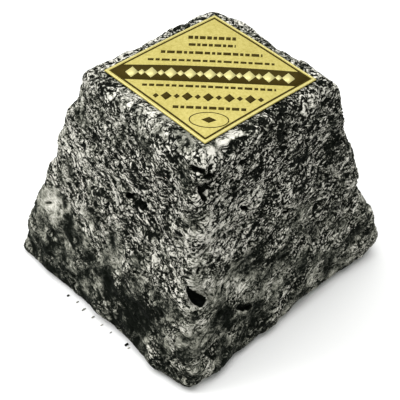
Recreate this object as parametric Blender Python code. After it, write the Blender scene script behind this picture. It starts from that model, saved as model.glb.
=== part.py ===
"""A goat cheese in the form of a truncated pyramid, with a square card label on its flat top.

Metres, +Z up, standing on z = 0 with its base centred on the origin. The sides of the base
run along X and Y. The cheese is one solid piece with a wrinkled, ash-dusted rind, so the
rind's ledges, hollows and pits are relief in that solid. The label is a second piece.
"""

import math

import bmesh
import bpy
from mathutils import Vector, noise

# Driving dimensions of the cheese, in metres
BASE_SIDE = 0.0800
TOP_SIDE = 0.0508
HEIGHT = 0.0658
TOP_CROWN = 0.0004

# Driving dimensions of the label
LABEL_SIDE = 0.0402
LABEL_THICKNESS = 0.00035
LABEL_GAP = 0.0003
LABEL_CENTRE = Vector((0.0015, 0.0014))
LABEL_TURN = math.radians(-1.1)
LABEL_SEGMENTS = 12

# The top stays smooth under the label: the rind's relief starts this far outside its edge,
# is full after the fade, and the rule holds only within this depth of the top
LABEL_CLEAR = 0.0010
LABEL_FADE = 0.0022
LABEL_ZONE = 0.0015

# How far each corner of the slumped cheese lies from its place in a true square pyramid.
# A corner is named by the signs of its X and Y.
BASE_LEAN = {
    (-1, 1): Vector((0.0000, 0.0001)),
    (-1, -1): Vector((0.0025, -0.0012)),
    (1, -1): Vector((-0.0009, -0.0006)),
    (1, 1): Vector((-0.0015, 0.0012)),
}
TOP_LEAN = {
    (-1, 1): Vector((0.0019, 0.0016)),
    (-1, -1): Vector((0.0012, 0.0014)),
    (1, -1): Vector((0.0001, 0.0004)),
    (1, 1): Vector((0.0010, 0.0010)),
}

# Rounding of the edges, as a share of half the cheese's width at that height. It grows from
# the foot to the waist and from there to the top, between these shares of the height.
ROUND_FOOT = 0.055
ROUND_WAIST = 0.120
ROUND_TOP = 0.150
FOOT_TO_WAIST = (0.0, 0.30)
WAIST_TO_TOP = (0.5, 1.0)

# The grid of faces on each side, and how far its lines crowd towards the edges
GRID = 30
CROWDING = 0.22

# Relief of the rind: depth, length along the side, and height of one swelling
SWELLS = (0.0009, 0.030, 0.024)
LEDGES = (0.0013, 0.015, 0.0075)
CRAGS = (0.0007, 0.0060, 0.0042)
FOOT_FADE = 0.0020

# A length too small to matter, and the angle from which an edge counts as sharp
SPECK = 1e-6
SHARP_ANGLE = math.radians(50)

# Where the slumped cheese swells or sinks along one upright edge, named by the signs of its
# X and Y: height up the edge, radius upwards, and how far it stands out (a dent is negative)
EDGE_SWELLS = {
    (-1, -1): (
        (0.060, 0.008, -0.0015),
        (0.050, 0.007, -0.0006),
        (0.039, 0.006, -0.0016),
        (0.032, 0.006, -0.0009),
        (0.020, 0.008, 0.0010),
    ),
    (1, 1): (
        (0.064, 0.006, 0.0013),
        (0.050, 0.006, -0.0006),
        (0.043, 0.005, -0.0007),
        (0.026, 0.006, -0.0019),
        (0.016, 0.006, 0.0019),
        (0.009, 0.005, 0.0011),
        (0.001, 0.005, -0.0022),
    ),
}
EDGE_SWELL_REACH = 0.011

# Single swellings and hollows of the faces: centre, radius along the side, radius upwards,
# and how far it stands out
FACE_SWELLS = (
    (Vector((0.0400, 0.0130, 0.0000)), 0.034, 0.0080, -0.0026),
    (Vector((-0.0240, 0.0000, 0.0658)), 0.018, 0.0070, -0.0012),
    (Vector((-0.0200, 0.0270, 0.0650)), 0.012, 0.0070, -0.0010),
    (Vector((0.0130, 0.0270, 0.0650)), 0.010, 0.0060, 0.0010),
    (Vector((0.0250, -0.0405, 0.0040)), 0.007, 0.0060, 0.0014),
    (Vector((0.0300, -0.0200, 0.0590)), 0.006, 0.0040, -0.0010),
    (Vector((0.0245, -0.0110, 0.0655)), 0.004, 0.0020, 0.0006),
)

# Small open holes: centre on the rind, radius along the side, radius upwards, depth
PITS = (
    (Vector((0.0330, -0.0325, 0.0280)), 0.0031, 0.0029, 0.0036),
    (Vector((0.0358, -0.0160, 0.0152)), 0.0026, 0.0016, 0.0024),
    (Vector((0.0055, -0.0297, 0.0436)), 0.0026, 0.0017, 0.0022),
    (Vector((0.0262, -0.0240, 0.0575)), 0.0026, 0.0024, 0.0017),
    (Vector((0.0294, -0.0130, 0.0462)), 0.0018, 0.0014, 0.0014),
    (Vector((0.0312, 0.0026, 0.0362)), 0.0018, 0.0014, 0.0013),
    (Vector((-0.0330, 0.0090, 0.0260)), 0.0028, 0.0020, 0.0024),
    (Vector((-0.0290, -0.0150, 0.0440)), 0.0020, 0.0016, 0.0016),
    (Vector((0.0080, 0.0350, 0.0230)), 0.0030, 0.0022, 0.0026),
    (Vector((-0.0140, 0.0310, 0.0400)), 0.0020, 0.0015, 0.0015),
)
PIT_RAGGED = 0.20
PIT_RAGGED_SIZE = 0.0040

# Faces within this share of a pit's radius are split, the second time round large pits only
PIT_SPLITS = (1.7, 1.2)
LARGE_PIT = 0.0025

# Where in the endless noise each kind of relief is read
SWELL_PLACE = Vector((3.1, 7.4, 1.9))
LEDGE_PLACE = Vector((11.7, 2.3, 5.2))
CRAG_PLACE = Vector((4.6, 13.8, 8.1))
RAGGED_PLACE = Vector((17.2, 5.5, 9.3))

# Finishes: colour, roughness, metallic
RIND_FINISH = ((0.115, 0.115, 0.105, 1.0), 0.95, 0.0)
LABEL_FINISH = ((0.76, 0.62, 0.20, 1.0), 0.35, 0.6)


def clear_scene():
    for obj in list(bpy.data.objects):
        bpy.data.objects.remove(obj)


def smooth_step(low, high, value):
    share = min(1.0, max(0.0, (value - low) / (high - low)))
    return share * share * (3.0 - 2.0 * share)


def finish(name, colour, roughness, metallic):
    material = bpy.data.materials.new(name)
    material.use_nodes = True
    shader = material.node_tree.nodes["Principled BSDF"]
    shader.inputs["Base Color"].default_value = colour
    shader.inputs["Roughness"].default_value = roughness
    shader.inputs["Metallic"].default_value = metallic
    return material


def add_object(name, bm, material, parent):
    """A smooth-shaded object from a bmesh, hung on the parent."""
    mesh = bpy.data.meshes.new(name)
    bm.to_mesh(mesh)
    bm.free()
    mesh.shade_smooth()
    mesh.set_sharp_from_angle(angle=SHARP_ANGLE)
    mesh.materials.append(material)
    obj = bpy.data.objects.new(name, mesh)
    obj.parent = parent
    bpy.context.collection.objects.link(obj)
    return obj


def crowded(value):
    """A grid line's place from -1 to 1, with the lines drawn towards both edges."""
    return value * (1.0 + CROWDING * (1.0 - value * value))


def rounding_at(share_up):
    """How round the edges are at this share of the height: sharp foot, soft top."""
    waist = ROUND_FOOT + (ROUND_WAIST - ROUND_FOOT) * smooth_step(*FOOT_TO_WAIST, share_up)
    return waist + (ROUND_TOP - ROUND_WAIST) * smooth_step(*WAIST_TO_TOP, share_up)


def rounded(point):
    """A point of the cube from -1 to 1 moved onto the same cube with rounded edges."""
    radius = rounding_at((point.z + 1.0) / 2.0)
    core = Vector([max(-1.0 + radius, min(1.0 - radius, along)) for along in point])
    outward = point - core
    if outward.length == 0.0:
        return point.copy()
    return core + outward.normalized() * radius


def corner(signs, side, lean):
    return Vector(signs) * side / 2.0 + lean[signs]


def caged(point):
    """A point of the cube moved into the pyramid: a blend of the pyramid's eight corners."""
    share_up = (point.z + 1.0) / 2.0
    flat = Vector((0.0, 0.0))
    for signs in BASE_LEAN:
        weight = (1.0 + signs[0] * point.x) * (1.0 + signs[1] * point.y) / 4.0
        low = corner(signs, BASE_SIDE, BASE_LEAN)
        high = corner(signs, TOP_SIDE, TOP_LEAN)
        flat += low.lerp(high, share_up) * weight
    return Vector((flat.x, flat.y, share_up * HEIGHT))


def crown(flat_point):
    """How far the flat top rises above HEIGHT, as a very low dome round the label's centre."""
    reach = (flat_point - LABEL_CENTRE).length / (TOP_SIDE / 2.0)
    return TOP_CROWN * max(0.0, 1.0 - reach * reach)


def noise_relief(point, kind, place):
    depth, length, height = kind
    scaled = Vector((point.x / length, point.y / length, point.z / height))
    return depth * noise.noise(scaled + place)


def bump(offset, radius_along, radius_up):
    """1 at the middle of an ellipsoid and 0 at its edge and beyond."""
    along = (offset.x**2 + offset.y**2) / radius_along**2
    upward = offset.z**2 / radius_up**2
    return max(0.0, 1.0 - along - upward)


def edge_point(signs, height):
    """The place at this height on one upright edge of the plain pyramid."""
    low = corner(signs, BASE_SIDE, BASE_LEAN)
    high = corner(signs, TOP_SIDE, TOP_LEAN)
    flat = low.lerp(high, height / HEIGHT)
    return Vector((flat.x, flat.y, height))


def swell_relief(point):
    """The single swellings and hollows, of the upright edges and of the faces."""
    swells = list(FACE_SWELLS)
    for signs, along_edge in EDGE_SWELLS.items():
        for height, radius_up, amount in along_edge:
            swells.append((edge_point(signs, height), EDGE_SWELL_REACH, radius_up, amount))
    return sum(amount * bump(point - centre, along, up) ** 2 for centre, along, up, amount in swells)


def pit_axes_of(bm):
    """The way each pit is sunk: the plain pyramid's normal at the pit's centre."""
    nearest = [min(bm.verts, key=lambda vert: (vert.co - pit[0]).length) for pit in PITS]
    return [vert.normal.copy() for vert in nearest]


def pit_step(point, pit_axes):
    """The move that makes the open holes: each is sunk along its own axis, with a ragged rim."""
    ragged = 1.0 + PIT_RAGGED * noise.noise(point / PIT_RAGGED_SIZE + RAGGED_PLACE)
    step = Vector()
    for (centre, along, up, depth), axis in zip(PITS, pit_axes):
        step -= axis * depth * bump((point - centre) * ragged, along, up)
    return step


def label_frame(flat_point):
    """The point in the label's own directions, from its centre."""
    offset = flat_point - LABEL_CENTRE
    cosine = math.cos(-LABEL_TURN)
    sine = math.sin(-LABEL_TURN)
    return Vector((offset.x * cosine - offset.y * sine, offset.x * sine + offset.y * cosine))


def beside_label(point):
    """0 under the label and just beside it, 1 from a little further out and on the sides."""
    if point.z < HEIGHT - LABEL_ZONE:
        return 1.0
    local = label_frame(point.xy)
    outside = max(abs(local.x), abs(local.y)) - LABEL_SIDE / 2.0
    return smooth_step(LABEL_CLEAR, LABEL_CLEAR + LABEL_FADE, outside)


def relief(point):
    """How far the rind stands proud of the plain pyramid at this point."""
    total = noise_relief(point, SWELLS, SWELL_PLACE)
    total += noise_relief(point, LEDGES, LEDGE_PLACE)
    total += noise_relief(point, CRAGS, CRAG_PLACE)
    total += swell_relief(point)
    return total * beside_label(point)


def split_round(bm, centre, reach):
    """Splits the edges whose middles lie within reach of the centre."""
    close = [e for e in bm.edges if ((e.verts[0].co + e.verts[1].co) / 2.0 - centre).length < reach]
    bmesh.ops.subdivide_edges(bm, edges=close, cuts=1, use_grid_fill=True)
    bmesh.ops.triangulate(bm, faces=[face for face in bm.faces if len(face.verts) > 4])


def refine_round_pits(bm):
    """Gives each pit enough faces: one split round all of them, a second round large ones."""
    for centre, along, up, _ in PITS:
        radius = max(along, up)
        for share in PIT_SPLITS if radius > LARGE_PIT else PIT_SPLITS[:1]:
            split_round(bm, centre, share * radius)


def top_of(face):
    return max(vert.co.z for vert in face.verts)


def shape_rind(bm):
    """Moves every point of the plain pyramid along its normal by the rind's relief."""
    bm.normal_update()
    pit_axes = pit_axes_of(bm)
    moves = {}
    for vert in bm.verts:
        if vert.co.z > SPECK:
            outward = vert.normal.copy()
        elif any(top_of(face) > SPECK for face in vert.link_faces):
            outward = Vector((vert.co.x, vert.co.y, 0.0)).normalized()
        else:
            continue
        step = outward * relief(vert.co) + pit_step(vert.co, pit_axes)
        step.z *= smooth_step(0.0, FOOT_FADE, vert.co.z)
        if vert.co.z > HEIGHT - SPECK:
            step.z += crown(vert.co.xy)
        moves[vert] = step
    for vert, step in moves.items():
        vert.co += step


def flatten_foot(bm):
    """Joins the base's grid into one flat face that the cheese stands on."""
    base_faces = [face for face in bm.faces if top_of(face) < SPECK]
    bmesh.ops.dissolve_faces(bm, faces=base_faces, use_verts=True)


def make_cheese(parent):
    bm = bmesh.new()
    bmesh.ops.create_cube(bm, size=2.0)
    bmesh.ops.subdivide_edges(bm, edges=bm.edges[:], cuts=GRID - 1, use_grid_fill=True)
    for vert in bm.verts:
        vert.co = caged(rounded(Vector([crowded(along) for along in vert.co])))
    refine_round_pits(bm)
    shape_rind(bm)
    flatten_foot(bm)
    bmesh.ops.recalc_face_normals(bm, faces=bm.faces[:])
    rind = finish("ash_rind", *RIND_FINISH)
    return add_object("cheese", bm, rind, parent)


def make_label(parent):
    """The card label, which follows the low dome of the top with a thin gap under it."""
    bm = bmesh.new()
    segments = LABEL_SEGMENTS
    bmesh.ops.create_grid(bm, x_segments=segments, y_segments=segments, size=LABEL_SIDE / 2.0)
    for vert in bm.verts:
        vert.co.z = crown(vert.co.xy + LABEL_CENTRE)
    card = finish("gold_card", *LABEL_FINISH)
    label = add_object("label", bm, card, parent)
    label.location = (LABEL_CENTRE.x, LABEL_CENTRE.y, HEIGHT + LABEL_GAP)
    label.rotation_euler.z = LABEL_TURN
    thickness = label.modifiers.new("thickness", "SOLIDIFY")
    thickness.thickness = LABEL_THICKNESS
    thickness.offset = 1.0
    return label


def centre_on_origin(root, cheese):
    """Moves the root so that the middle of the cheese's footprint is over the origin."""
    for axis in range(2):
        along = [vert.co[axis] for vert in cheese.data.vertices]
        root.location[axis] = -(min(along) + max(along)) / 2.0


def main():
    clear_scene()
    root = bpy.data.objects.new("pyramid", None)
    bpy.context.collection.objects.link(root)
    cheese = make_cheese(root)
    make_label(root)
    centre_on_origin(root, cheese)


main()
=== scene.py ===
# %% [markdown]
# An ash-dusted goat cheese pyramid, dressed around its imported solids.
# The real cheese is drained in a mould like a pyramid with its tip cut off, turned out,
# dusted with black vegetable ash and left to ripen, until pale mould grows over the ash.
# Everything here starts from two solids, "cheese" and "label", that give form and size.

# %% Load the solids
import math

import bmesh
import bpy
from mathutils import Matrix, Vector, noise
from mathutils.bvhtree import BVHTree
from mathutils.geometry import intersect_point_line


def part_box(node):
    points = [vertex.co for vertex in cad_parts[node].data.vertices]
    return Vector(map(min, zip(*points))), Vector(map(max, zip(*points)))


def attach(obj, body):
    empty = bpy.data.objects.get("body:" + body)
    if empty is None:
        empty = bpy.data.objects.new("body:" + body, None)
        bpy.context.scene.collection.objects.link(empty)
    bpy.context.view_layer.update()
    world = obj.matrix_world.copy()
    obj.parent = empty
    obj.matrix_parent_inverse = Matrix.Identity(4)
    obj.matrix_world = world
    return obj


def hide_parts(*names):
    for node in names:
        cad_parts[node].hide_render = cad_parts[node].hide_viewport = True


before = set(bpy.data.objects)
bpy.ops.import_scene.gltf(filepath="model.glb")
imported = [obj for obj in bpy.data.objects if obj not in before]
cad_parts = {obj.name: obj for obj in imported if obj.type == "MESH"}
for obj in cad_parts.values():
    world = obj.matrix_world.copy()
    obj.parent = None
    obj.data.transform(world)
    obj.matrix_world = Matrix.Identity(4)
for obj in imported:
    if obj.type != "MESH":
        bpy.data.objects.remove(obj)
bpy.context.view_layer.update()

MM = 0.001

# %% [markdown]
# ## The camera
# The photograph looks down on one upright edge of the cheese from close by. A long lens
# some 33 cm away gives the same mild perspective. The camera is placed by a turn round the
# cheese, a rise over the table and a small roll, and its axes are written out as a matrix,
# because a roll is easy to get wrong by hand.

# %% Place the camera
CAMERA_TURN = math.radians(46.16)
CAMERA_RISE = math.radians(43.13)
CAMERA_ROLL = math.radians(1.09)
CAMERA_DISTANCE = 330.4 * MM
CAMERA_TARGET = Vector((0.77, 0.19, 20.3)) * MM
LENS = 100.5
CLIP_START = 0.01

back = Vector((
    math.sin(CAMERA_TURN) * math.cos(CAMERA_RISE),
    -math.cos(CAMERA_TURN) * math.cos(CAMERA_RISE),
    math.sin(CAMERA_RISE),
))
level_right = Vector((math.cos(CAMERA_TURN), math.sin(CAMERA_TURN), 0.0))
level_up = back.cross(level_right)
right = level_right * math.cos(CAMERA_ROLL) + level_up * math.sin(CAMERA_ROLL)
up = back.cross(right)

camera_data = bpy.data.cameras.new("camera")
camera_data.lens = LENS
camera_data.clip_start = CLIP_START
camera = bpy.data.objects.new("camera", camera_data)
camera.matrix_world = Matrix.Translation(CAMERA_TARGET + back * CAMERA_DISTANCE) @ Matrix(
    (right, up, back)
).transposed().to_4x4()
bpy.context.collection.objects.link(camera)
bpy.context.scene.camera = camera
print("camera at, mm:", [round(value / MM, 1) for value in camera.matrix_world.translation])

# %% [markdown]
# ## Floor and light
# The photograph has a white ground and soft light. A large pale floor, an even white
# surround and two broad lamps, one overhead and a weaker one from the left, give that
# ground, a soft grey shadow at the foot and gentle modelling of the rind. The plain
# "Standard" view keeps the ground white.

# %% Lay the floor and set the lamps
FLOOR_SIZE = 3.0
FLOOR_COLOUR = (0.90, 0.90, 0.90, 1.0)
FLOOR_ROUGHNESS = 0.8
FLOOR_SPECULAR = 0.2
SURROUND_COLOUR = (0.985, 1.0, 0.975, 1.0)
SURROUND_STRENGTH = 0.62
# Each lamp: the side it stands on, its distance, its width, its power
LAMPS = {
    "overhead_lamp": ((-0.10, 0.05, 1.0), 0.80, 1.00, 6.6),
    "side_lamp": ((-0.60, -0.50, 0.62), 0.90, 0.50, 4.4),
}


def principled(name):
    """A new material, its node tree and its shader."""
    material = bpy.data.materials.new(name)
    material.use_nodes = True
    return material, material.node_tree, material.node_tree.nodes["Principled BSDF"]


def object_from(name, bm, material):
    """A smooth-shaded object at the origin, made from a bmesh."""
    mesh = bpy.data.meshes.new(name)
    bm.to_mesh(mesh)
    bm.free()
    mesh.shade_smooth()
    mesh.materials.append(material)
    obj = bpy.data.objects.new(name, mesh)
    bpy.context.collection.objects.link(obj)
    return obj


floor_paint, _, floor_shader = principled("pale_floor")
floor_shader.inputs["Base Color"].default_value = FLOOR_COLOUR
floor_shader.inputs["Roughness"].default_value = FLOOR_ROUGHNESS
floor_shader.inputs["Specular IOR Level"].default_value = FLOOR_SPECULAR
floor_bm = bmesh.new()
bmesh.ops.create_grid(floor_bm, x_segments=1, y_segments=1, size=FLOOR_SIZE / 2.0)
floor = object_from("floor", floor_bm, floor_paint)

surround = bpy.data.worlds.new("surround")
surround.use_nodes = True
sky = surround.node_tree.nodes["Background"]
sky.inputs["Color"].default_value = SURROUND_COLOUR
sky.inputs["Strength"].default_value = SURROUND_STRENGTH
bpy.context.scene.world = surround

for name, (side, distance, width, power) in LAMPS.items():
    lamp_data = bpy.data.lights.new(name, "AREA")
    lamp_data.shape = "DISK"
    lamp_data.size = width
    lamp_data.energy = power
    lamp = bpy.data.objects.new(name, lamp_data)
    towards = Vector(side).normalized()
    lamp.location = towards * distance
    lamp.rotation_euler = towards.to_track_quat("Z", "Y").to_euler()
    bpy.context.collection.objects.link(lamp)
bpy.context.scene.view_settings.view_transform = "Standard"
print("floor", FLOOR_SIZE, "m, lamps", list(LAMPS))

# %% [markdown]
# ## The rind's smooth form
# The solid already leans, swells and has its pits, but it is faceted. A copy of it is merged,
# its triangles are joined to quads and it is subdivided, which rounds the facets away. A
# voxel remesh then gives faces of one even size all over, so that the wrinkles that follow
# are as fine at the foot as at the top. The base is one flat face again at the end.

# %% Copy, smooth and remesh the cheese
MERGE_DISTANCE = 0.002 * MM
JOIN_ANGLE = math.radians(40)
SMOOTHING_LEVELS = 2
FACE_SIZE = 0.505 * MM
FOOT_FLAT = 0.30 * MM


def merged_copy(node):
    """A bmesh of a solid, with its loose triangles merged."""
    bm = bmesh.new()
    bm.from_mesh(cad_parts[node].data)
    bmesh.ops.remove_doubles(bm, verts=bm.verts[:], dist=MERGE_DISTANCE)
    return bm


def remeshed_cheese():
    """The smooth form in even quads, as a bmesh."""
    bm = merged_copy("cheese")
    bmesh.ops.join_triangles(
        bm,
        faces=bm.faces[:],
        angle_face_threshold=JOIN_ANGLE,
        angle_shape_threshold=JOIN_ANGLE,
    )
    rough = object_from("rough_form", bm, floor_paint)
    smoothing = rough.modifiers.new("smoothing", "SUBSURF")
    smoothing.levels = smoothing.render_levels = SMOOTHING_LEVELS
    remesh = rough.modifiers.new("even_faces", "REMESH")
    remesh.mode = "VOXEL"
    remesh.voxel_size = FACE_SIZE
    evaluated = rough.evaluated_get(bpy.context.evaluated_depsgraph_get())
    bm = bmesh.new()
    bm.from_mesh(evaluated.to_mesh())
    evaluated.to_mesh_clear()
    bpy.data.objects.remove(rough)
    return bm


def flatten_base(bm):
    """Levels the underside and makes one face of it."""
    for vert in bm.verts:
        if vert.co.z < FOOT_FLAT:
            vert.co.z = 0.0
    under = [face for face in bm.faces if max(vert.co.z for vert in face.verts) == 0.0]
    bmesh.ops.dissolve_faces(bm, faces=under, use_verts=True)


rind_bm = remeshed_cheese()
flatten_base(rind_bm)
rind_bm.normal_update()
print("rind form:", len(rind_bm.verts), "points,", len(rind_bm.faces), "faces")

# %% [markdown]
# ## Wrinkles, crags and holes
# A ripening rind creeps and folds. On this cheese the folds are a millimetre or two wide and
# run round it, dipping towards one upright edge, so the noise that makes them is read in
# stretched coordinates: long along the fold, short across it. Valleys come from where the
# noise crosses zero, which gives thin dark creases between broad pale ridges. Small open
# holes come from Voronoi cells, whose centres are evenly scattered. The large pits of the
# solid are deepened along short strokes with ragged edges. At the foot the rind swells out
# in three places and turns in under the cheese, which makes a soft dark line on the table.

# %% Find where the label lies, since the rind stays calm under it
LABEL_TURN = math.radians(-1.1)
TOP_ZONE = 2.0 * MM
LABEL_CALM = (0.4 * MM, 1.6 * MM)

label_low, label_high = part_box("label")
label_centre = (label_low + label_high) / 2.0
label_side = (label_high.x - label_low.x) / (math.cos(LABEL_TURN) + abs(math.sin(LABEL_TURN)))


def ease(low, high, value):
    """A smooth step from 0 at the low value to 1 at the high one."""
    share = min(1.0, max(0.0, (value - low) / (high - low)))
    return share * share * (3.0 - 2.0 * share)


def clear_of_label(point):
    """0 under the label and 1 away from it."""
    if point.z < label_low.z - TOP_ZONE:
        return 1.0
    local = Matrix.Rotation(-LABEL_TURN, 2) @ (point - label_centre).xy
    return ease(*LABEL_CALM, max(abs(local.x), abs(local.y)) - label_side / 2.0)


print("label side, mm:", round(label_side / MM, 2))

# %% Describe the relief
FOLD_DIP = 0.42
BEND = 1.6 * MM
BEND_SIZE = 8.0 * MM
# The bend's three directions and the reliefs below are read at places far apart in one
# noise, so that no two of them look alike
BEND_PLACES = (Vector((31.4, 7.2, 15.9)), Vector((8.6, 42.3, 25.5)), Vector((14.7, 19.8, 36.2)))
# Each size is the length along the folds, then the width across them
FOLDS = (4.2 * MM, 1.25 * MM)
FOLD_PLACE = Vector((5.3, 1.7, 8.8))
FOLD_WIDTH = 0.26
FOLD_DEPTH = 0.55 * MM
RIDGE_MIDDLE = 0.6
RIPPLES = (2.9 * MM, 0.9 * MM)
RIPPLE_PLACE = Vector((9.4, 4.8, 2.6))
RIPPLE_DEPTH = 0.30 * MM
LUMPS = (6.0 * MM, 4.0 * MM)
LUMP_PLACE = Vector((1.2, 6.5, 3.3))
LUMP_DEPTH = 0.60 * MM
HOLE_SPACING = 2.4 * MM
HOLE_CELL = (HOLE_SPACING, HOLE_SPACING * 0.7)
HOLE_KEY = 7.31
HOLE_CHANCE = 0.5
HOLE_RADII = (0.35 * MM, 1.05 * MM)
HOLE_DEPTH = 1.00 * MM
FOOT_CALM = 2.8 * MM
FOOT_ROUND = 3.2 * MM
FOOT_TUCKS = (0.8 * MM, 2.0 * MM)
FOOT_SQUARENESS = 7

# The large pits as strokes: the points of each in mm, with the pit's radius there in mm
PITS = (
    (((4.0, -29.6, 43.3), 0.6), ((8.0, -29.3, 44.0), 1.9), ((11.2, -29.5, 43.4), 1.0)),
    (((31.1, -33.0, 30.8), 0.5), ((31.2, -31.4, 27.2), 1.1), ((33.5, -30.5, 25.8), 1.4)),
    (((36.5, -18.7, 17.2), 0.8), ((36.0, -16.2, 14.8), 1.2), ((36.6, -14.4, 13.9), 0.8)),
    (((27.1, -23.2, 61.0), 0.6), ((27.1, -20.3, 59.7), 0.7)),
    (((23.7, -24.5, 62.6), 0.8), ((26.1, -23.0, 62.3), 0.6)),
    (((26.0, -24.4, 57.4), 0.5), ((28.3, -24.5, 55.3), 0.7)),
    (((29.5, -12.1, 45.1), 0.6), ((30.2, -10.6, 44.6), 0.7)),
    (((32.0, 1.0, 36.4), 0.6), ((32.3, 3.0, 36.6), 0.8)),
    (((-32.2, 10.5, 27.0), 0.9), ((-32.2, 8.0, 25.4), 1.5)),
    (((-28.2, -13.6, 44.4), 0.6), ((-28.2, -16.0, 43.6), 0.9)),
    (((7.2, 35.2, 23.8), 0.8), ((9.8, 35.2, 22.4), 1.5)),
    (((-14.2, 31.2, 40.4), 0.6), ((-12.2, 31.2, 39.6), 0.9)),
)
# Where the foot swells out: centre in mm, radius in mm, height in mm
SWELLS = (
    ((38.5, 13.0, 3.0), 11.0, 1.1),
    ((7.0, -41.0, 3.0), 9.0, 1.2),
    ((39.5, -32.0, 4.0), 13.0, 1.4),
)
PIT_NEARBY = 9.0
PIT_RAGGED = 0.40
PIT_RAGGED_SIZE = 1.3 * MM
PIT_WALL = (0.5, 1.1)
PIT_DEPTH = 1.70 * MM


def along_folds(point, size, place):
    """The point in coordinates that are bent a little and stretched along the folds."""
    along, across = size
    bent = point + BEND * Vector([noise.noise(point / BEND_SIZE + read) for read in BEND_PLACES])
    height = bent.z + FOLD_DIP * (bent.x - bent.y)
    return Vector((bent.x / along, bent.y / along, height / across)) + place


def folds(point):
    """0 in a crease and 1 on a ridge."""
    return ease(0.0, FOLD_WIDTH, abs(noise.noise(along_folds(point, FOLDS, FOLD_PLACE))))


def scattered_hole(point):
    """1 at the middle of a small open hole and 0 outside it."""
    distances, centres = noise.voronoi(along_folds(point, HOLE_CELL, Vector()))
    chance = noise.cell(centres[0] * HOLE_KEY)
    if chance <= HOLE_CHANCE:
        return 0.0
    least, most = HOLE_RADII
    radius = least + (most - least) * (chance - HOLE_CHANCE) / (1.0 - HOLE_CHANCE)
    return max(0.0, 1.0 - (distances[0] * HOLE_SPACING / radius) ** 2)


def pit_reach(point):
    """How far the nearest large pit's middle line is, in pit radii, with a ragged edge."""
    place = point / MM
    nearest = math.inf
    for stroke in PITS:
        if (place - Vector(stroke[0][0])).length > PIT_NEARBY:
            continue
        for (start, start_radius), (end, end_radius) in zip(stroke, stroke[1:]):
            _, share = intersect_point_line(place, start, end)
            share = min(1.0, max(0.0, share))
            away = (place - Vector(start).lerp(end, share)).length
            nearest = min(nearest, away / (start_radius + (end_radius - start_radius) * share))
    return nearest * (1.0 + PIT_RAGGED * noise.noise(point / PIT_RAGGED_SIZE))


# %% [markdown]
# ## Where the mould grows, and where shade is painted
# The mould is thickest on ridges and on some broad patches, and the ash shows in creases,
# holes and where the mould hasn't taken. The darkening of creases, holes and pits is partly
# that ash and partly painted shade. Each point of the mesh stores how much mould it has,
# lowered where shade is painted, from about 0 to 1, and how sharply it is broken up. The
# material reads both numbers. Patches stand where the photograph shows them, and the rest
# comes from slow noise; three dark patches under the white crust are painted shadow.

# %% Describe the mould
BLOTCHES = (11.0 * MM, 7.7 * MM)
BLOTCH_PLACE = Vector((2.2, 9.1, 4.4))
MOTTLE = (4.0 * MM, 2.4 * MM)
MOTTLE_PLACE = Vector((7.7, 3.4, 6.1))
MOULD_LEVEL = 0.245
BLOTCH_SHARE = 0.30
MOTTLE_SHARE = 0.38
FOLD_MOULD_AND_SHADE_SHARE = 0.50
HOLE_ASH_AND_SHADE_SHARE = 1.0
PIT_ASH_AND_SHADE_SHARE = 2.2
PIT_ASH_AND_SHADE_REACH = (0.8, 1.1)
LIP_SHARE = 0.35
LIP_RISE = (1.0, 1.3)
LIP_FALL = (1.3, 1.8)

CRISP_LIMITS = (0.22, 1.7)
CRISP_LOW = 0.36
CRISP_RISE = 0.70
CRISP_HEIGHTS = (16.0 * MM, 44.0 * MM)
CRISP_CHANGE = 1.1
CRISP_SIZE = (6.0 * MM, 4.8 * MM)
CRISP_PLACE = Vector((8.1, 5.9, 1.3))
CRISP_LOST = 0.55
PATCH_UNEVEN = 1.0
PATCH_UNEVEN_SIZE = 2.2 * MM
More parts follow.
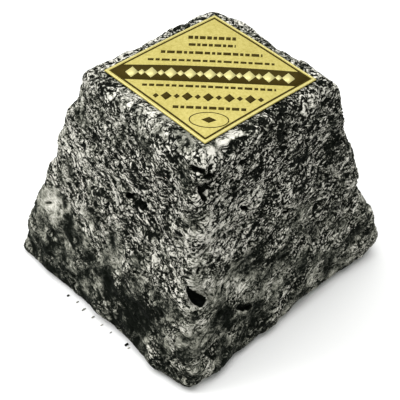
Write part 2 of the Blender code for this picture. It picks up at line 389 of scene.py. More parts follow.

# Centre in mm, radius in mm, and how much more mould there is (less, if negative); three under the
# white crust paint the shadow of its crevice instead
PATCHES = (
    ((-26.8, -34.6, 23.1), 5.5, 0.50),
    ((-22.8, -35.5, 20.4), 4.5, 0.50),
    ((-3.7, -33.8, 27.3), 6.0, 0.20),
    ((-12.0, -34.3, 24.5), 4.5, 0.40),
    ((6.9, -35.4, 23.8), 3.5, 0.45),
    ((-20.4, -38.2, 11.6), 9.0, -0.26),
    ((-28.7, -40.3, 2.6), 7.0, -0.35),
    ((-26.9, -38.0, 12.2), 2.0, 0.35),
    ((-16.3, -37.0, 13.8), 3.0, 0.45),
    ((-13.1, -39.3, 9.6), 2.2, 0.40),
    ((-8.7, -33.5, 25.7), 3.0, 0.25),
    ((-1.6, -35.3, 20.6), 2.4, 0.35),
    ((-1.2, -38.1, 10.6), 2.6, 0.45),
    ((14.0, -36.9, 19.5), 2.4, 0.35),
    ((5.0, -39.5, 4.0), 2.6, 0.35),
    ((-22.0, -37.0, 14.3), 3.0, -0.25),
    ((-12.5, -35.7, 19.2), 3.2, -0.35),
    ((-5.1, -37.2, 15.6), 3.2, -0.35),
    ((-0.8, -34.3, 25.4), 3.0, -0.40),
    ((9.6, -33.5, 30.2), 3.0, -0.45),
    ((4.4, -37.2, 13.8), 3.4, -0.45),
    ((-11.8, -39.9, 5.1), 3.0, -0.30),
    ((10.3, -37.1, 14.1), 8.0, -0.28),
    ((20.0, -37.1, 17.7), 6.0, -0.30),
    ((20.7, -37.1, 12.4), 7.0, -0.25),
    ((11.9, -39.3, 3.2), 7.0, -0.35),
    ((29.2, -39.2, 6.8), 6.0, -0.18),
    ((-12.9, -27.7, 50.7), 6.0, -0.12),
    ((22.1, -34.4, 27.8), 4.0, 0.25),
    ((19.3, -31.9, 32.3), 3.5, 0.15),
    ((31.1, -28.2, 38.8), 5.0, 0.22),
    ((26.1, -28.6, 48.4), 4.0, 0.15),
    ((34.7, -34.4, 18.3), 4.5, 0.25),
    ((26.3, -24.8, 60.0), 4.0, -0.35),
    ((-1.0, -21.2, 65.9), 3.5, 0.25),
    ((3.2, -21.0, 66.0), 3.5, 0.45),
    ((7.6, -21.0, 66.0), 3.5, 0.22),
    ((15.8, -20.8, 65.9), 3.5, 0.28),
    ((21.8, -21.7, 65.4), 2.5, 0.15),
    ((23.4, -20.8, 65.2), 2.2, 0.30),
    ((24.0, -18.7, 64.7), 1.8, 0.35),
    ((24.1, -18.8, 64.6), 0.8, 1.30),
    ((23.8, -15.8, 65.1), 0.8, 1.20),
    ((23.8, -14.4, 65.3), 0.9, 1.50),
    ((23.9, -12.9, 65.5), 1.0, 1.80),
    ((24.0, -11.2, 65.7), 1.0, 2.00),
    ((24.1, -9.6, 65.7), 0.8, 1.50),
    ((24.2, -8.4, 65.6), 0.6, 0.90),
    # Painted shadow: the next three darken the crevice under the white crust
    ((25.2, -14.2, 64.0), 1.3, -1.00),
    ((25.9, -11.7, 64.4), 1.4, -1.00),
    ((25.6, -8.2, 64.8), 1.2, -0.60),
    ((26.4, -15.0, 62.5), 1.4, -0.60),
    ((27.6, -9.5, 58.0), 1.6, -0.60),
    ((24.6, -3.8, 65.6), 3.5, -0.35),
    ((25.0, 8.1, 65.3), 4.0, 0.20),
    ((-14.5, -19.2, 65.8), 6.0, -0.25),
    ((-20.7, 9.8, 65.9), 5.0, -0.20),
    ((4.0, 24.5, 65.1), 4.5, -0.15),
    ((-7.0, 24.5, 65.1), 4.5, 0.20),
    ((26.9, 23.3, 63.4), 5.0, 0.35),
    ((28.5, 18.9, 59.3), 5.0, -0.35),
    ((29.6, 21.7, 47.8), 6.0, -0.35),
    ((30.8, 0.8, 46.3), 5.0, -0.20),
    ((28.0, 2.0, 57.0), 12.0, -0.33),
    ((31.0, -24.0, 46.0), 4.0, 0.15),
    ((33.2, -11.1, 29.5), 5.0, -0.30),
    ((34.8, 3.5, 26.6), 7.0, -0.25),
    ((33.7, -17.8, 25.0), 5.0, 0.25),
    ((36.3, -25.4, 19.3), 4.0, -0.40),
    ((36.5, -4.4, 15.4), 5.0, 0.20),
    ((37.8, -9.2, 9.5), 6.0, -0.15),
    ((37.3, 9.6, 12.0), 7.0, -0.12),
    ((37.1, 33.6, 14.2), 8.0, -0.30),
    ((22.2, -29.1, 45.9), 4.0, -0.12),
    ((30.1, -28.0, 44.4), 5.0, 0.24),
    ((31.5, -18.5, 38.0), 4.0, 0.18),
    ((34.1, -28.7, 30.1), 4.5, 0.35),
    ((27.7, -37.5, 14.7), 4.5, 0.28),
    ((12.4, -37.1, 16.3), 4.0, 0.25),
    ((-23.9, -29.1, 45.3), 5.0, 0.22),
    ((-19.0, -27.1, 53.7), 4.0, 0.15),
    ((-5.6, -25.2, 60.6), 5.0, -0.15),
    ((29.5, -9.4, 49.1), 4.0, 0.15),
    ((36.3, 34.1, 18.8), 5.0, 0.22),
    ((36.2, -14.2, 18.3), 9.0, 0.12),
    ((17.0, -38.0, 13.0), 9.0, 0.07),
    ((35.7, 6.1, 21.5), 9.0, 0.10),
    ((29.3, 17.0, 46.0), 9.0, -0.30),
    ((-36.0, 22.0, 9.0), 10.0, -0.28),
    ((-34.0, -10.0, 18.0), 8.0, -0.22),
    ((-31.0, 26.0, 30.0), 5.0, 0.30),
    ((-28.5, 3.0, 52.0), 7.0, -0.20),
    ((-33.0, -22.0, 22.0), 3.0, 0.45),
    ((-36.0, 6.0, 10.0), 3.0, 0.40),
    ((12.0, 38.0, 9.0), 10.0, -0.28),
    ((-22.0, 35.0, 22.0), 8.0, -0.22),
    ((26.0, 34.0, 30.0), 5.0, 0.30),
    ((-6.0, 29.0, 52.0), 6.0, 0.20),
    ((-3.0, 36.0, 16.0), 3.0, 0.45),
    ((24.0, 38.0, 8.0), 3.0, 0.40),
)
# The same for how sharply the mould is broken up
CRISP_PATCHES = (
    ((4.3, -28.9, 48.3), 14.0, 0.20),
    ((-13.0, -32.0, 36.0), 9.0, 0.30),
    ((16.5, -31.0, 38.0), 7.0, 0.30),
    ((28.7, -3.8, 53.3), 12.0, 0.65),
    ((29.3, 13.7, 50.1), 10.0, 0.45),
    ((10.7, -27.4, 55.1), 9.0, 0.25),
    ((34.7, 20.0, 22.0), 12.0, 0.35),
    ((18.1, -30.8, 37.4), 6.0, 0.25),
    ((30.0, -37.0, 12.0), 8.0, 0.35),
    ((28.3, -15.9, 56.5), 6.0, 0.20),
    ((36.8, 9.7, 15.8), 7.0, 0.30),
    ((33.5, 2.9, 31.0), 7.0, -0.30),
    ((31.0, -14.0, 39.4), 6.0, -0.20),
    ((31.1, -28.5, 38.3), 4.0, -0.15),
    ((27.8, -15.0, 55.0), 7.0, 0.30),
    ((35.0, 28.0, 21.0), 8.0, 0.40),
    ((36.9, 9.6, 15.1), 6.0, 0.20),
    ((-19.4, -36.9, 13.6), 9.0, -0.25),
    ((4.0, -35.6, 20.0), 9.0, -0.15),
    ((36.2, -24.9, 19.5), 6.0, -0.20),
    ((-1.0, -21.2, 65.9), 4.5, -0.50),
    ((7.6, -21.0, 66.0), 4.5, -0.50),
    ((15.8, -20.8, 65.9), 4.5, -0.50),
)


def patch_sum(patches, point):
    """The placed patches' share, each with an uneven outline."""
    uneven = 1.0 + PATCH_UNEVEN * noise.noise(point / PATCH_UNEVEN_SIZE)
    total = 0.0
    for centre, radius, amount in patches:
        reach = (point / MM - Vector(centre)).length / radius * uneven
        total += amount * math.exp(-reach * reach)
    return total


def crispness_at(point):
    """How sharply the mould is broken up: most towards the top, least where it is thick."""
    change = noise.noise(along_folds(point, CRISP_SIZE, CRISP_PLACE))
    sharp = CRISP_LOW + CRISP_RISE * ease(*CRISP_HEIGHTS, point.z) + CRISP_CHANGE * change
    sharp += patch_sum(CRISP_PATCHES, point) - CRISP_LOST * max(0.0, patch_sum(PATCHES, point))
    return min(CRISP_LIMITS[1], max(CRISP_LIMITS[0], sharp))


def mould_and_shade_at(point, ridge, open_hole, reach, crispness):
    """How much mould covers the ash at this point, lowered in creases, holes and pits partly for
    ash and partly as painted shade.
    """
    blotch = noise.noise(along_folds(point, BLOTCHES, BLOTCH_PLACE))
    mottle = noise.noise(along_folds(point, MOTTLE, MOTTLE_PLACE))
    level = MOULD_LEVEL + BLOTCH_SHARE * blotch + MOTTLE_SHARE * mottle
    level += patch_sum(PATCHES, point)
    # Creases, small holes and large pits are darker here: partly ash, partly painted shade
    level += FOLD_MOULD_AND_SHADE_SHARE * (ridge - RIDGE_MIDDLE) * crispness - HOLE_ASH_AND_SHADE_SHARE * open_hole
    lip = ease(*LIP_RISE, reach) - ease(*LIP_FALL, reach)
    return level + LIP_SHARE * lip - PIT_ASH_AND_SHADE_SHARE * (1.0 - ease(*PIT_ASH_AND_SHADE_REACH, reach))


# %% Shape the rind
def foot_tuck(point):
    """How the foot turns in under the cheese, more on the side away from the lamp."""
    if point.z > FOOT_ROUND:
        return Vector()
    outward = Vector((
        math.copysign(abs(point.x / MM) ** FOOT_SQUARENESS, point.x),
        math.copysign(abs(point.y / MM) ** FOOT_SQUARENESS, point.y),
        0.0,
    )).normalized()
    least, most = FOOT_TUCKS
    depth = least + (most - least) * ease(0.0, 1.0, outward.x)
    return outward * -depth * (1.0 - point.z / FOOT_ROUND) ** 2


def swell_at(point):
    """How far the foot's swells stand out at this point, smoothly."""
    total = 0.0
    for centre, radius, height in SWELLS:
        reach = (point / MM - Vector(centre)).length / radius
        total += height * math.exp(-reach * reach)
    return total * MM


def relief_at(point, ridge, open_hole, reach):
    """How far the rind stands out at this point."""
    lump = noise.noise(along_folds(point, LUMPS, LUMP_PLACE))
    ripple = noise.noise(along_folds(point, RIPPLES, RIPPLE_PLACE))
    total = LUMP_DEPTH * lump + RIPPLE_DEPTH * ripple + FOLD_DEPTH * (ridge - RIDGE_MIDDLE)
    total += swell_at(point)
    return total - HOLE_DEPTH * open_hole - PIT_DEPTH * (1.0 - ease(*PIT_WALL, reach))


# The stored mould is lowered in creases, holes and pits, partly as painted shade
mould_and_shade_layer = rind_bm.verts.layers.float.new("mould")
crisp_layer = rind_bm.verts.layers.float.new("crispness")
moves = []
for vert in rind_bm.verts:
    ridge = folds(vert.co)
    open_hole = scattered_hole(vert.co)
    reach = pit_reach(vert.co)
    crispness = crispness_at(vert.co)
    vert[mould_and_shade_layer] = mould_and_shade_at(vert.co, ridge, open_hole, reach, crispness)
    vert[crisp_layer] = crispness
    calm = ease(0.0, FOOT_CALM, vert.co.z) * clear_of_label(vert.co)
    moves.append((vert, vert.normal * relief_at(vert.co, ridge, open_hole, reach) * calm))
for vert, move in moves:
    vert.co += move + foot_tuck(vert.co)
print("deepest relief, mm:", round(max(move.length for _, move in moves) / MM, 2))

# %% [markdown]
# ## The rind's material
# Ash is a matt greenish black and mould a matt warm grey. Noises are added to the stored
# mould: speckle, grain, thin dark valleys and dark cracks, all drawn out along the folds like
# the relief, where the rind is crisp, and rounder smoke where it isn't. The dark valleys and
# cracks lie where the bump sinks, so they are partly ash in fine creases and partly painted
# shade. A colour ramp turns the sum into ash, thin mould and white crust. The noises are read
# from Object coordinates, so they stay on the cheese from every side.

# %% Build the ash and mould group
MM_PER_M = 1000.0
NOISE_MIDDLE = 0.5
# How wide a noise is across the folds, for each mm along them
STREAK_WIDTH = 0.30
# Each noise: its size in mm, its detail, its roughness and its distortion
VALLEYS = (2.2, 1.0, 0.5, 0.4)
SPECKLE = (1.05, 3.0, 0.74, 0.3)
GRAIN = (0.8, 1.0, 0.6, 0.0)
SMOKE = (3.6, 3.0, 0.6, 0.5)
BANDS = (5.5, 1.5, 0.5, 0.6)
VALLEY_WIDTH = 0.07
CRACK_WIDTH = 0.05
# The value of each that leaves the mould as it is, and how much each changes it. Smoke
# changes it less, and grain more, where the rind is crisp
VALLEY_MIDDLE = 0.66
SPECKLE_GAIN = 3.8
CRACK_MIDDLE = 0.90
CRACK_GAIN = 1.15
SMOKE_GAIN = 1.7
GRAIN_GAIN = 0.45
CRISP_GRAIN_GAIN = 1.8
# The lines' shares of the bump, beside the speckle's share of 1
VALLEY_HEIGHT = 0.5
CRACK_HEIGHT = 0.8
ASH_ROUGHNESS = 0.80
MOULD_ROUGHENS = 0.15
RAMP_SCALE = 0.72
RAMP_START = 0.06
# From deep ash through ash, thin mould and mould to white crust; the darkest stops also carry the
# painted shade of creases, holes and pits
RAMP = (
    (0.0, (0.0030, 0.0042, 0.0026, 1.0)),
    (0.12, (0.0105, 0.0125, 0.0092, 1.0)),
    (0.28, (0.052, 0.054, 0.044, 1.0)),
    (0.52, (0.245, 0.245, 0.203, 1.0)),
    (1.0, (0.74, 0.72, 0.65, 1.0)),
)


def feed(tree, socket, value):
    """Links a node's input to another node's output, or sets it to a plain value."""
    if isinstance(value, bpy.types.NodeSocket):
        tree.links.new(value, socket)
    else:
        socket.default_value = value


def add_node(tree, kind, settings=None, **inputs):
    """A node with its settings made and its inputs set or linked."""
    node = tree.nodes.new(kind)
    for name, value in (settings or {}).items():
        setattr(node, name, value)
    for name, value in inputs.items():
        feed(tree, node.inputs[name], value)
    return node


def maths(tree, operation, *values):
    """The result of a math node whose inputs are these, in order."""
    node = add_node(tree, "ShaderNodeMath", {"operation": operation})
    for socket, value in zip(node.inputs, values):
        feed(tree, socket, value)
    return node.outputs[0]


def add_share(tree, value, middle, gain, total):
    """The total with so many times the value's distance from its middle added."""
    return maths(tree, "MULTIPLY_ADD", maths(tree, "SUBTRACT", value, middle), gain, total)


def beside_lines(tree, value, width):
    """0 on the thin lines where a noise crosses its middle, and 1 away from them."""
    away = maths(tree, "ABSOLUTE", maths(tree, "SUBTRACT", value, NOISE_MIDDLE))
    return maths(tree, "MINIMUM", maths(tree, "DIVIDE", away, width), 1.0)


def noise_value(tree, vector, wavelength, detail, roughness=0.5, distortion=0.0):
    """Noise from 0 to 1 whose features are about this many mm across."""
    node = add_node(
        tree,
        "ShaderNodeTexNoise",
        Vector=vector,
        Scale=MM_PER_M / wavelength,
        Detail=detail,
        Roughness=roughness,
        Distortion=distortion,
    )
    return node.outputs["Fac"]


def new_group(name, inputs, outputs):
    """An empty shader node group with these sockets, and its two end nodes."""
    tree = bpy.data.node_groups.new(name, "ShaderNodeTree")
    for direction, sockets in (("INPUT", inputs), ("OUTPUT", outputs)):
        for socket_name, kind in sockets:
            tree.interface.new_socket(
                socket_name, in_out=direction, socket_type="NodeSocket" + kind
            )
    return tree, tree.nodes.new("NodeGroupInput"), tree.nodes.new("NodeGroupOutput")


def ash_mould_and_shade_group():
    """Colour and height of the rind from how much mould a place has, with shade partly painted
    into its dark valleys and cracks.
    """
    tree, start, end = new_group(
        "ash_mould_and_shade",
        [("Vector", "Vector"), ("Mould", "Float"), ("Crispness", "Float")],
        [("Color", "Color"), ("Roughness", "Float"), ("Height", "Float")],
    )
    place, mould, crispness = (start.outputs[name] for name in ("Vector", "Mould", "Crispness"))
    turned = add_node(
        tree,
        "ShaderNodeMapping",
        {"vector_type": "TEXTURE"},
        Vector=place,
        Rotation=fold_rotation,
        Scale=(1.0, 1.0, STREAK_WIDTH),
    ).outputs[0]
    valleys = beside_lines(tree, noise_value(tree, turned, *VALLEYS), VALLEY_WIDTH)
    speckle = noise_value(tree, turned, *SPECKLE)
    grain = noise_value(tree, turned, *GRAIN)
    smoke = noise_value(tree, place, *SMOKE)
    cracks = beside_lines(tree, noise_value(tree, turned, *BANDS), CRACK_WIDTH)

    # The dark valleys and cracks lie where the bump sinks: partly ash in fine creases, partly
    # painted shade
    broken = maths(tree, "SUBTRACT", valleys, VALLEY_MIDDLE)
    broken = add_share(tree, speckle, NOISE_MIDDLE, SPECKLE_GAIN, broken)
    broken = add_share(tree, cracks, CRACK_MIDDLE, CRACK_GAIN, broken)
    mixed = maths(tree, "MULTIPLY_ADD", broken, crispness, mould)
    smokiness = maths(tree, "SUBTRACT", SMOKE_GAIN, crispness)
    mixed = add_share(tree, smoke, NOISE_MIDDLE, smokiness, mixed)
    graininess = maths(tree, "MULTIPLY_ADD", crispness, CRISP_GRAIN_GAIN, GRAIN_GAIN)
    mixed = add_share(tree, grain, NOISE_MIDDLE, graininess, mixed)

    reading = maths(tree, "MULTIPLY_ADD", mixed, RAMP_SCALE, RAMP_START)
    ramp = add_node(tree, "ShaderNodeValToRGB", Fac=reading)
    stops = ramp.color_ramp.elements
    stops[0].position, stops[1].position = RAMP[0][0], RAMP[-1][0]
    for position, _ in RAMP[1:-1]:
        stops.new(position)
    for stop, (_, colour) in zip(stops, RAMP):
        stop.color = colour

    rough = maths(tree, "MULTIPLY_ADD", mixed, MOULD_ROUGHENS, ASH_ROUGHNESS)
    height = maths(tree, "MULTIPLY_ADD", valleys, VALLEY_HEIGHT, speckle)
    height = maths(tree, "MULTIPLY_ADD", cracks, CRACK_HEIGHT, height)
    height = maths(tree, "MULTIPLY", height, crispness)
    tree.links.new(ramp.outputs["Color"], end.inputs["Color"])
    tree.links.new(rough, end.inputs["Roughness"])
    tree.links.new(height, end.inputs["Height"])
    return tree


fold_normal = Vector((FOLD_DIP, -FOLD_DIP, 1.0)).normalized()
fold_rotation = fold_normal.to_track_quat("Z", "Y").to_euler()
ash_mould_and_shade = ash_mould_and_shade_group()
print("nodes in the group:", len(ash_mould_and_shade.nodes))

# %% Make the rind's material and piece
RIND_BUMP = 0.40 * MM
RIND_SPECULAR = 0.05

ash_rind, rind_tree, rind_shader = principled("ash_rind")
rind_place = rind_tree.nodes.new("ShaderNodeTexCoord")
growth = add_node(
    rind_tree, "ShaderNodeGroup", {"node_tree": ash_mould_and_shade}, Vector=rind_place.outputs["Object"]
)
# The stored mould carries painted shade in creases, holes and pits as well as mould
for socket_name, attribute in (("Mould", "mould"), ("Crispness", "crispness")):
    stored = add_node(rind_tree, "ShaderNodeAttribute", {"attribute_name": attribute})
    rind_tree.links.new(stored.outputs["Fac"], growth.inputs[socket_name])
rind_bump = add_node(
    rind_tree, "ShaderNodeBump", Height=growth.outputs["Height"], Strength=1.0, Distance=RIND_BUMP
)
rind_tree.links.new(growth.outputs["Color"], rind_shader.inputs["Base Color"])
rind_tree.links.new(growth.outputs["Roughness"], rind_shader.inputs["Roughness"])
rind_tree.links.new(rind_bump.outputs["Normal"], rind_shader.inputs["Normal"])
rind_shader.inputs["Specular IOR Level"].default_value = RIND_SPECULAR

cheese_rind = object_from("cheese_rind", rind_bm, ash_rind)
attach(cheese_rind, "root")
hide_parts("cheese")
print("rind:", len(cheese_rind.data.polygons), "faces")

# %% [markdown]
# ## Crumbs of ash
# A few crumbs of rind have fallen off and lie on the table by its foot. Each is a tiny
# lump, longer than wide, made by moving the points of a coarse ball in and out by noise.
# They have the rind's material, with mould values of their own.

# %% Scatter the crumbs
# Place in mm, half length and half width in mm, and how much mould it has
CRUMBS = (
    ((-10.8, -41.8), (0.50, 0.28), 0.10),
    ((-7.0, -41.4), (0.55, 0.20), 0.50),
    ((-3.5, -41.8), (0.80, 0.24), 0.45),
    ((0.6, -41.7), (0.65, 0.20), 0.55),
    ((4.6, -41.7), (0.50, 0.18), 0.60),
    ((8.5, -41.6), (0.45, 0.16), 0.65),
    ((15.0, -41.2), (0.75, 0.35), 0.00),
    ((16.2, -41.5), (0.50, 0.22), 1.20),
)
CRUMB_HEIGHT = 0.7
CRUMB_ROUGH = 0.45
CRUMB_LUMPS = 1.4
CRUMB_CRISPNESS = 0.3

crumb_bm = bmesh.new()
crumb_mould = crumb_bm.verts.layers.float.new("mould")
crumb_crispness = crumb_bm.verts.layers.float.new("crispness")
for (crumb_x, crumb_y), (half_length, half_width), crumb_value in CRUMBS:
    ball = bmesh.ops.create_icosphere(crumb_bm, subdivisions=2, radius=1.0)["verts"]
    for vert in ball:
        vert[crumb_mould] = crumb_value
        vert[crumb_crispness] = CRUMB_CRISPNESS
        lump = noise.noise(vert.co * CRUMB_LUMPS + Vector((crumb_x, crumb_y, 0.0)))
        vert.co *= 1.0 + CRUMB_ROUGH * lump
    shape = Matrix.Diagonal((half_width, half_length, half_width * CRUMB_HEIGHT, 1.0))
    bmesh.ops.transform(crumb_bm, matrix=shape, verts=ball)
    place = Vector((crumb_x, crumb_y, -min(vert.co.z for vert in ball)))
    bmesh.ops.translate(crumb_bm, vec=place, verts=ball)
bmesh.ops.scale(crumb_bm, vec=(MM, MM, MM), verts=crumb_bm.verts[:])
crumbs = object_from("ash_crumbs", crumb_bm, ash_rind)
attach(crumbs, "root")
print("crumbs:", len(CRUMBS))

# %% [markdown]
# ## The card label
# The label is a square of gold card that lies on the top. It follows the solid's low dome,
# so its height at each place is found by a ray straight down onto the solid.

# %% Find the label's place and make the card
CARD_THICKNESS = 0.33 * MM
CARD_CELLS = 28
CARD_EDGE = 0.06 * MM
RAY_FROM = 0.2
# Rays start this share nearer the middle, so that those at the very edge still hit
RAY_INWARD = 0.002

label_tree = BVHTree.FromBMesh(merged_copy("label"))
label_square = Matrix.Translation((label_centre.x, label_centre.y, 0.0)) @ Matrix.Rotation(
    LABEL_TURN, 4, "Z"
)
label_diamond = label_square @ Matrix.Rotation(math.radians(45), 4, "Z")


def onto_label(bm, lift):
    """Drops every point of a flat bmesh onto the label's solid, this far above it."""
    for vert in bm.verts:
        inward = vert.co.xy.lerp(label_centre.xy, RAY_INWARD)
        hit = label_tree.ray_cast(Vector((inward.x, inward.y, RAY_FROM)), Vector((0.0, 0.0, -1.0)))
        vert.co.z = hit[0].z + lift


# %% Build the paper grain group and the gold
GOLD = (0.58, 0.505, 0.165, 1.0)
GOLD_WORN = (0.31, 0.255, 0.036, 1.0)
FIBRE_DETAIL = 3.0
FIBRE_SHARE = 1.15
BROAD_SIZE = 14.0
BROAD_SHARE = 0.35
PAPER_MIDDLE = 0.25
PAPER_BUMP = 0.03 * MM
PAPER_BUMP_STRENGTH = 0.25
# A Mix node has sockets of one name for each kind of value. These are its colours
MIX_A, MIX_B, MIX_RESULT = 6, 7, 2


def paper_grain_group():
    """Fine fibres of card: a mask for its colour and a height for its bump."""
    tree, start, end = new_group(
        "paper_grain",
        [("Vector", "Vector"), ("Size mm", "Float")],
        [("Mask", "Float"), ("Height", "Float")],
    )
    scale = maths(tree, "DIVIDE", MM_PER_M, start.outputs["Size mm"])
    place = start.outputs["Vector"]
    fibres = add_node(
        tree, "ShaderNodeTexNoise", Vector=place, Scale=scale, Detail=FIBRE_DETAIL
    ).outputs["Fac"]
    broad = noise_value(tree, place, BROAD_SIZE, 1.0)
    mixed = maths(tree, "MULTIPLY", fibres, FIBRE_SHARE)
    mixed = maths(tree, "MULTIPLY_ADD", broad, BROAD_SHARE, mixed)
    mask = maths(tree, "SUBTRACT", mixed, PAPER_MIDDLE)
    tree.links.new(mask, end.inputs["Mask"])
    tree.links.new(fibres, end.inputs["Height"])
    return tree


paper_grain = paper_grain_group()


def card_material(name, colour, worn, grain_size, roughness, metallic, specular):
    """Printed card: two close colours mixed by the paper's grain, its size in mm."""
    material, tree, shader = principled(name)
    coordinates = tree.nodes.new("ShaderNodeTexCoord")
    grain = add_node(
        tree, "ShaderNodeGroup", {"node_tree": paper_grain}, Vector=coordinates.outputs["Object"]
    )
    grain.inputs["Size mm"].default_value = grain_size
    tint = add_node(tree, "ShaderNodeMix", {"data_type": "RGBA"}, Factor=grain.outputs["Mask"])
    tint.inputs[MIX_A].default_value = colour
    tint.inputs[MIX_B].default_value = worn
    bump = add_node(
        tree,
        "ShaderNodeBump",
        Height=grain.outputs["Height"],
        Strength=PAPER_BUMP_STRENGTH,
        Distance=PAPER_BUMP,
    )
    tree.links.new(tint.outputs[MIX_RESULT], shader.inputs["Base Color"])
    tree.links.new(bump.outputs["Normal"], shader.inputs["Normal"])
    shader.inputs["Roughness"].default_value = roughness
    shader.inputs["Metallic"].default_value = metallic
    shader.inputs["Specular IOR Level"].default_value = specular
    return material


gold_card = card_material(
    "gold_card", GOLD, GOLD_WORN, grain_size=0.65, roughness=0.45, metallic=0.25, specular=0.4
)

card_bm = bmesh.new()
bmesh.ops.create_grid(
    card_bm,
    x_segments=CARD_CELLS,
    y_segments=CARD_CELLS,
    size=label_side / 2.0,
    matrix=label_square,
)
onto_label(card_bm, 0.0)
label_card = object_from("label_card", card_bm, gold_card)
thickness = label_card.modifiers.new("thickness", "SOLIDIFY")
thickness.thickness = CARD_THICKNESS
thickness.offset = -1.0
edge = label_card.modifiers.new("soft_edge", "BEVEL")
edge.width = CARD_EDGE
edge.segments = 2
edge.limit_method = "ANGLE"
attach(label_card, "root")
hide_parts("label")
print("card:", CARD_CELLS, "x", CARD_CELLS, "cells")

# %% [markdown]
# ## The print
# Print is a film of ink on the card. Each line and shape is a thin plate that follows the
# dome, which keeps its edges crisp from any distance. The pattern is a border, a dark band
# with gilt lozenges, and rows of short bars and lozenges. All places are given in mm from
# the label's middle: first along the diagonal that runs left to right in the photograph,
# then along the other one, away from the camera.

# %% Draw flat shapes
# Lengths in mm, and numbers of cuts and points
LONGEST_STEP = 2.2
SHORTEST_BAR = 0.3
FRAME_CUTS = 15
OVAL_POINTS = 40
WELD = 0.001


def spread(bm, flat, along, across, half_width, half_height):
    """Stretches a unit shape and puts its middle at a place."""
    shape = Matrix.Diagonal((half_width, half_height, 1.0, 1.0))
    place = Matrix.Translation((along, across, 0.0))
    bmesh.ops.transform(bm, matrix=place @ shape, verts=flat)


def bar(bm, left, right_end, middle, half_height):
    """A straight bar along the first diagonal, cut across often enough to bend."""
    cuts = max(1, math.ceil((right_end - left) / LONGEST_STEP))
    flat = bmesh.ops.create_grid(bm, x_segments=cuts, y_segments=1, size=1.0)["verts"]
    spread(bm, flat, (left + right_end) / 2.0, middle, (right_end - left) / 2.0, half_height)
    return flat


def dashes(bm, left, right_end, middle, half_height, widths, gap):
    """A row of short bars whose widths follow a repeating rule."""
    start, count = left, 0
    while start < right_end - SHORTEST_BAR:
        width = widths[count % len(widths)]
        bar(bm, start, min(start + width, right_end), middle, half_height)
        start += width + gap
        count += 1


def lozenge(bm, along, across, half_width, half_height):
    """A diamond with its points on the two diagonals."""
    flat = bmesh.ops.create_circle(bm, segments=4, radius=1.0, cap_ends=True)["verts"]
    spread(bm, flat, along, across, half_width, half_height)


def lozenges(bm, each_side, spacing, middle, sizes, slimness):
    """A row of diamonds of two sizes in turn, with so many on each side of the middle one."""
    for step in range(-each_side, each_side + 1):
        size = sizes[step % 2]
        lozenge(bm, step * spacing, middle, size * slimness, size)


def hollowed(bm, face, width):
    """Leaves only a rim of this width of a flat face."""
    bmesh.ops.inset_individual(bm, faces=[face], thickness=width)
    bmesh.ops.delete(bm, geom=[face], context="FACES")


def framing(bm, half_side, width):
    """A square frame whose sides run along the label's edges."""
    flat = bmesh.ops.create_grid(bm, x_segments=1, y_segments=1, size=half_side)["verts"]
    bmesh.ops.rotate(bm, verts=flat, matrix=Matrix.Rotation(math.radians(-45), 3, "Z"))
    hollowed(bm, flat[0].link_faces[0], width)
    ring = {face for vert in flat for face in vert.link_faces}
    long_edges = {edge for face in ring for edge in face.edges if edge.calc_length() > half_side}
    bmesh.ops.subdivide_edges(bm, edges=list(long_edges), cuts=FRAME_CUTS, use_grid_fill=True)


def oval_ring(bm, along, across, half_width, half_height, width):
    """An oval line."""
    flat = bmesh.ops.create_circle(bm, segments=OVAL_POINTS, radius=1.0, cap_ends=True)["verts"]
    spread(bm, flat, along, across, half_width, half_height)
    hollowed(bm, flat[0].link_faces[0], width)


# %% Lay a drawing on the label
INK_HEIGHT = 0.035 * MM


def printed(name, bm, material, lift):
    """Lays a flat drawing on the label as a thin film."""
    bmesh.ops.scale(bm, vec=(MM, MM, MM), verts=bm.verts[:])
    bmesh.ops.transform(bm, matrix=label_diamond, verts=bm.verts[:])
    onto_label(bm, lift)
    bmesh.ops.recalc_face_normals(bm, faces=bm.faces[:])
    piece = object_from(name, bm, material)
    film = piece.modifiers.new("film", "SOLIDIFY")
    film.thickness = INK_HEIGHT
    film.offset = -1.0
    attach(piece, "root")
    return piece


# %% Print the ink
BORDER_HALF_SIDE = 19.2
BORDER_WIDTH = 0.85
BAND_BOTTOM, BAND_TOP = -3.65, 2.80
BAND_BOW = 0.33
BAND_END = 26.5
# Rows of short bars: left end, right end, middle, half height, widths in turn, gap
DASH_ROWS = (
    (-6.8, 6.8, 16.6, 0.75, (1.3, 1.0, 1.6), 0.45),
    (-6.5, 6.5, 13.05, 0.62, (1.9, 0.9, 1.4, 1.1), 0.45),
    (-13.9, 13.9, 9.2, 0.62, (1.2, 2.1, 1.5, 0.9), 0.5),
    (-17.2, 17.2, 5.5, 0.48, (1.6, 1.1, 2.2, 1.3), 0.55),
    (-17.7, 17.7, -5.9, 0.48, (1.3, 1.3, 2.0, 1.0), 0.55),
    (-9.0, 10.0, -14.7, 0.55, (1.5, 1.0, 1.9), 0.5),
)
# Lozenges on each side, their spacing, the row's middle, their two sizes, width for height
INK_LOZENGES = (5, 2.75, -10.3, (1.75, 1.0), 0.85)
OVAL_PLACE = (0.6, -19.4)
OVAL_SIZE = (5.2, 3.1)
OVAL_LINE = 0.30
OVAL_LOZENGE_SIZE = (2.0, 1.2)
INK = (0.030, 0.020, 0.002, 1.0)
INK_WORN = (0.052, 0.037, 0.006, 1.0)


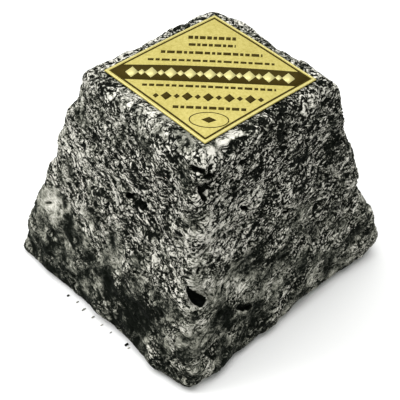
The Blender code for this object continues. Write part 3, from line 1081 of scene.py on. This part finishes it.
def band(bm):
    """The dark band, a little taller in the middle, with its ends cut by the border."""
    shoulder = BAND_END + BAND_BOTTOM
    flat = bar(bm, -shoulder, shoulder, 0.0, 1.0)
    for vert in flat:
        bow = BAND_BOW * (1.0 - (vert.co.x / shoulder) ** 2)
        vert.co.y = BAND_TOP + bow if vert.co.y > 0.0 else BAND_BOTTOM - bow
    tip = (
        (shoulder, BAND_BOTTOM),
        (BAND_END, 0.0),
        (BAND_END - BAND_TOP, BAND_TOP),
        (shoulder, BAND_TOP),
    )
    for side in (-1.0, 1.0):
        bm.faces.new([bm.verts.new((side * along, across, 0.0)) for along, across in tip])
    bmesh.ops.remove_doubles(bm, verts=bm.verts[:], dist=WELD)


ink_bm = bmesh.new()
framing(ink_bm, BORDER_HALF_SIDE, BORDER_WIDTH)
band(ink_bm)
for row in DASH_ROWS:
    dashes(ink_bm, *row)
lozenges(ink_bm, *INK_LOZENGES)
oval_ring(ink_bm, *OVAL_PLACE, *OVAL_SIZE, OVAL_LINE)
lozenge(ink_bm, *OVAL_PLACE, *OVAL_LOZENGE_SIZE)
dark_ink = card_material(
    "dark_ink", INK, INK_WORN, grain_size=0.4, roughness=0.7, metallic=0.0, specular=0.03
)
label_ink = printed("label_ink", ink_bm, dark_ink, 0.5 * INK_HEIGHT)
print("ink:", len(label_ink.data.polygons), "faces")

# %% Print the gilt ornament on the band
GILT_HALF_SIDE = 19.90
GILT_WIDTH = 0.45
GILT_LOZENGES = (8, 2.62, -0.42, (2.35, 1.30), 0.75)
GILT = (0.66, 0.60, 0.26, 1.0)
GILT_WORN = (0.56, 0.50, 0.19, 1.0)

gilt_bm = bmesh.new()
framing(gilt_bm, GILT_HALF_SIDE, GILT_WIDTH)
lozenges(gilt_bm, *GILT_LOZENGES)
gilt = card_material(
    "gilt", GILT, GILT_WORN, grain_size=0.5, roughness=0.45, metallic=0.25, specular=0.4
)
label_gilt = printed("label_gilt", gilt_bm, gilt, INK_HEIGHT)
print("gilt:", len(label_gilt.data.polygons), "faces")
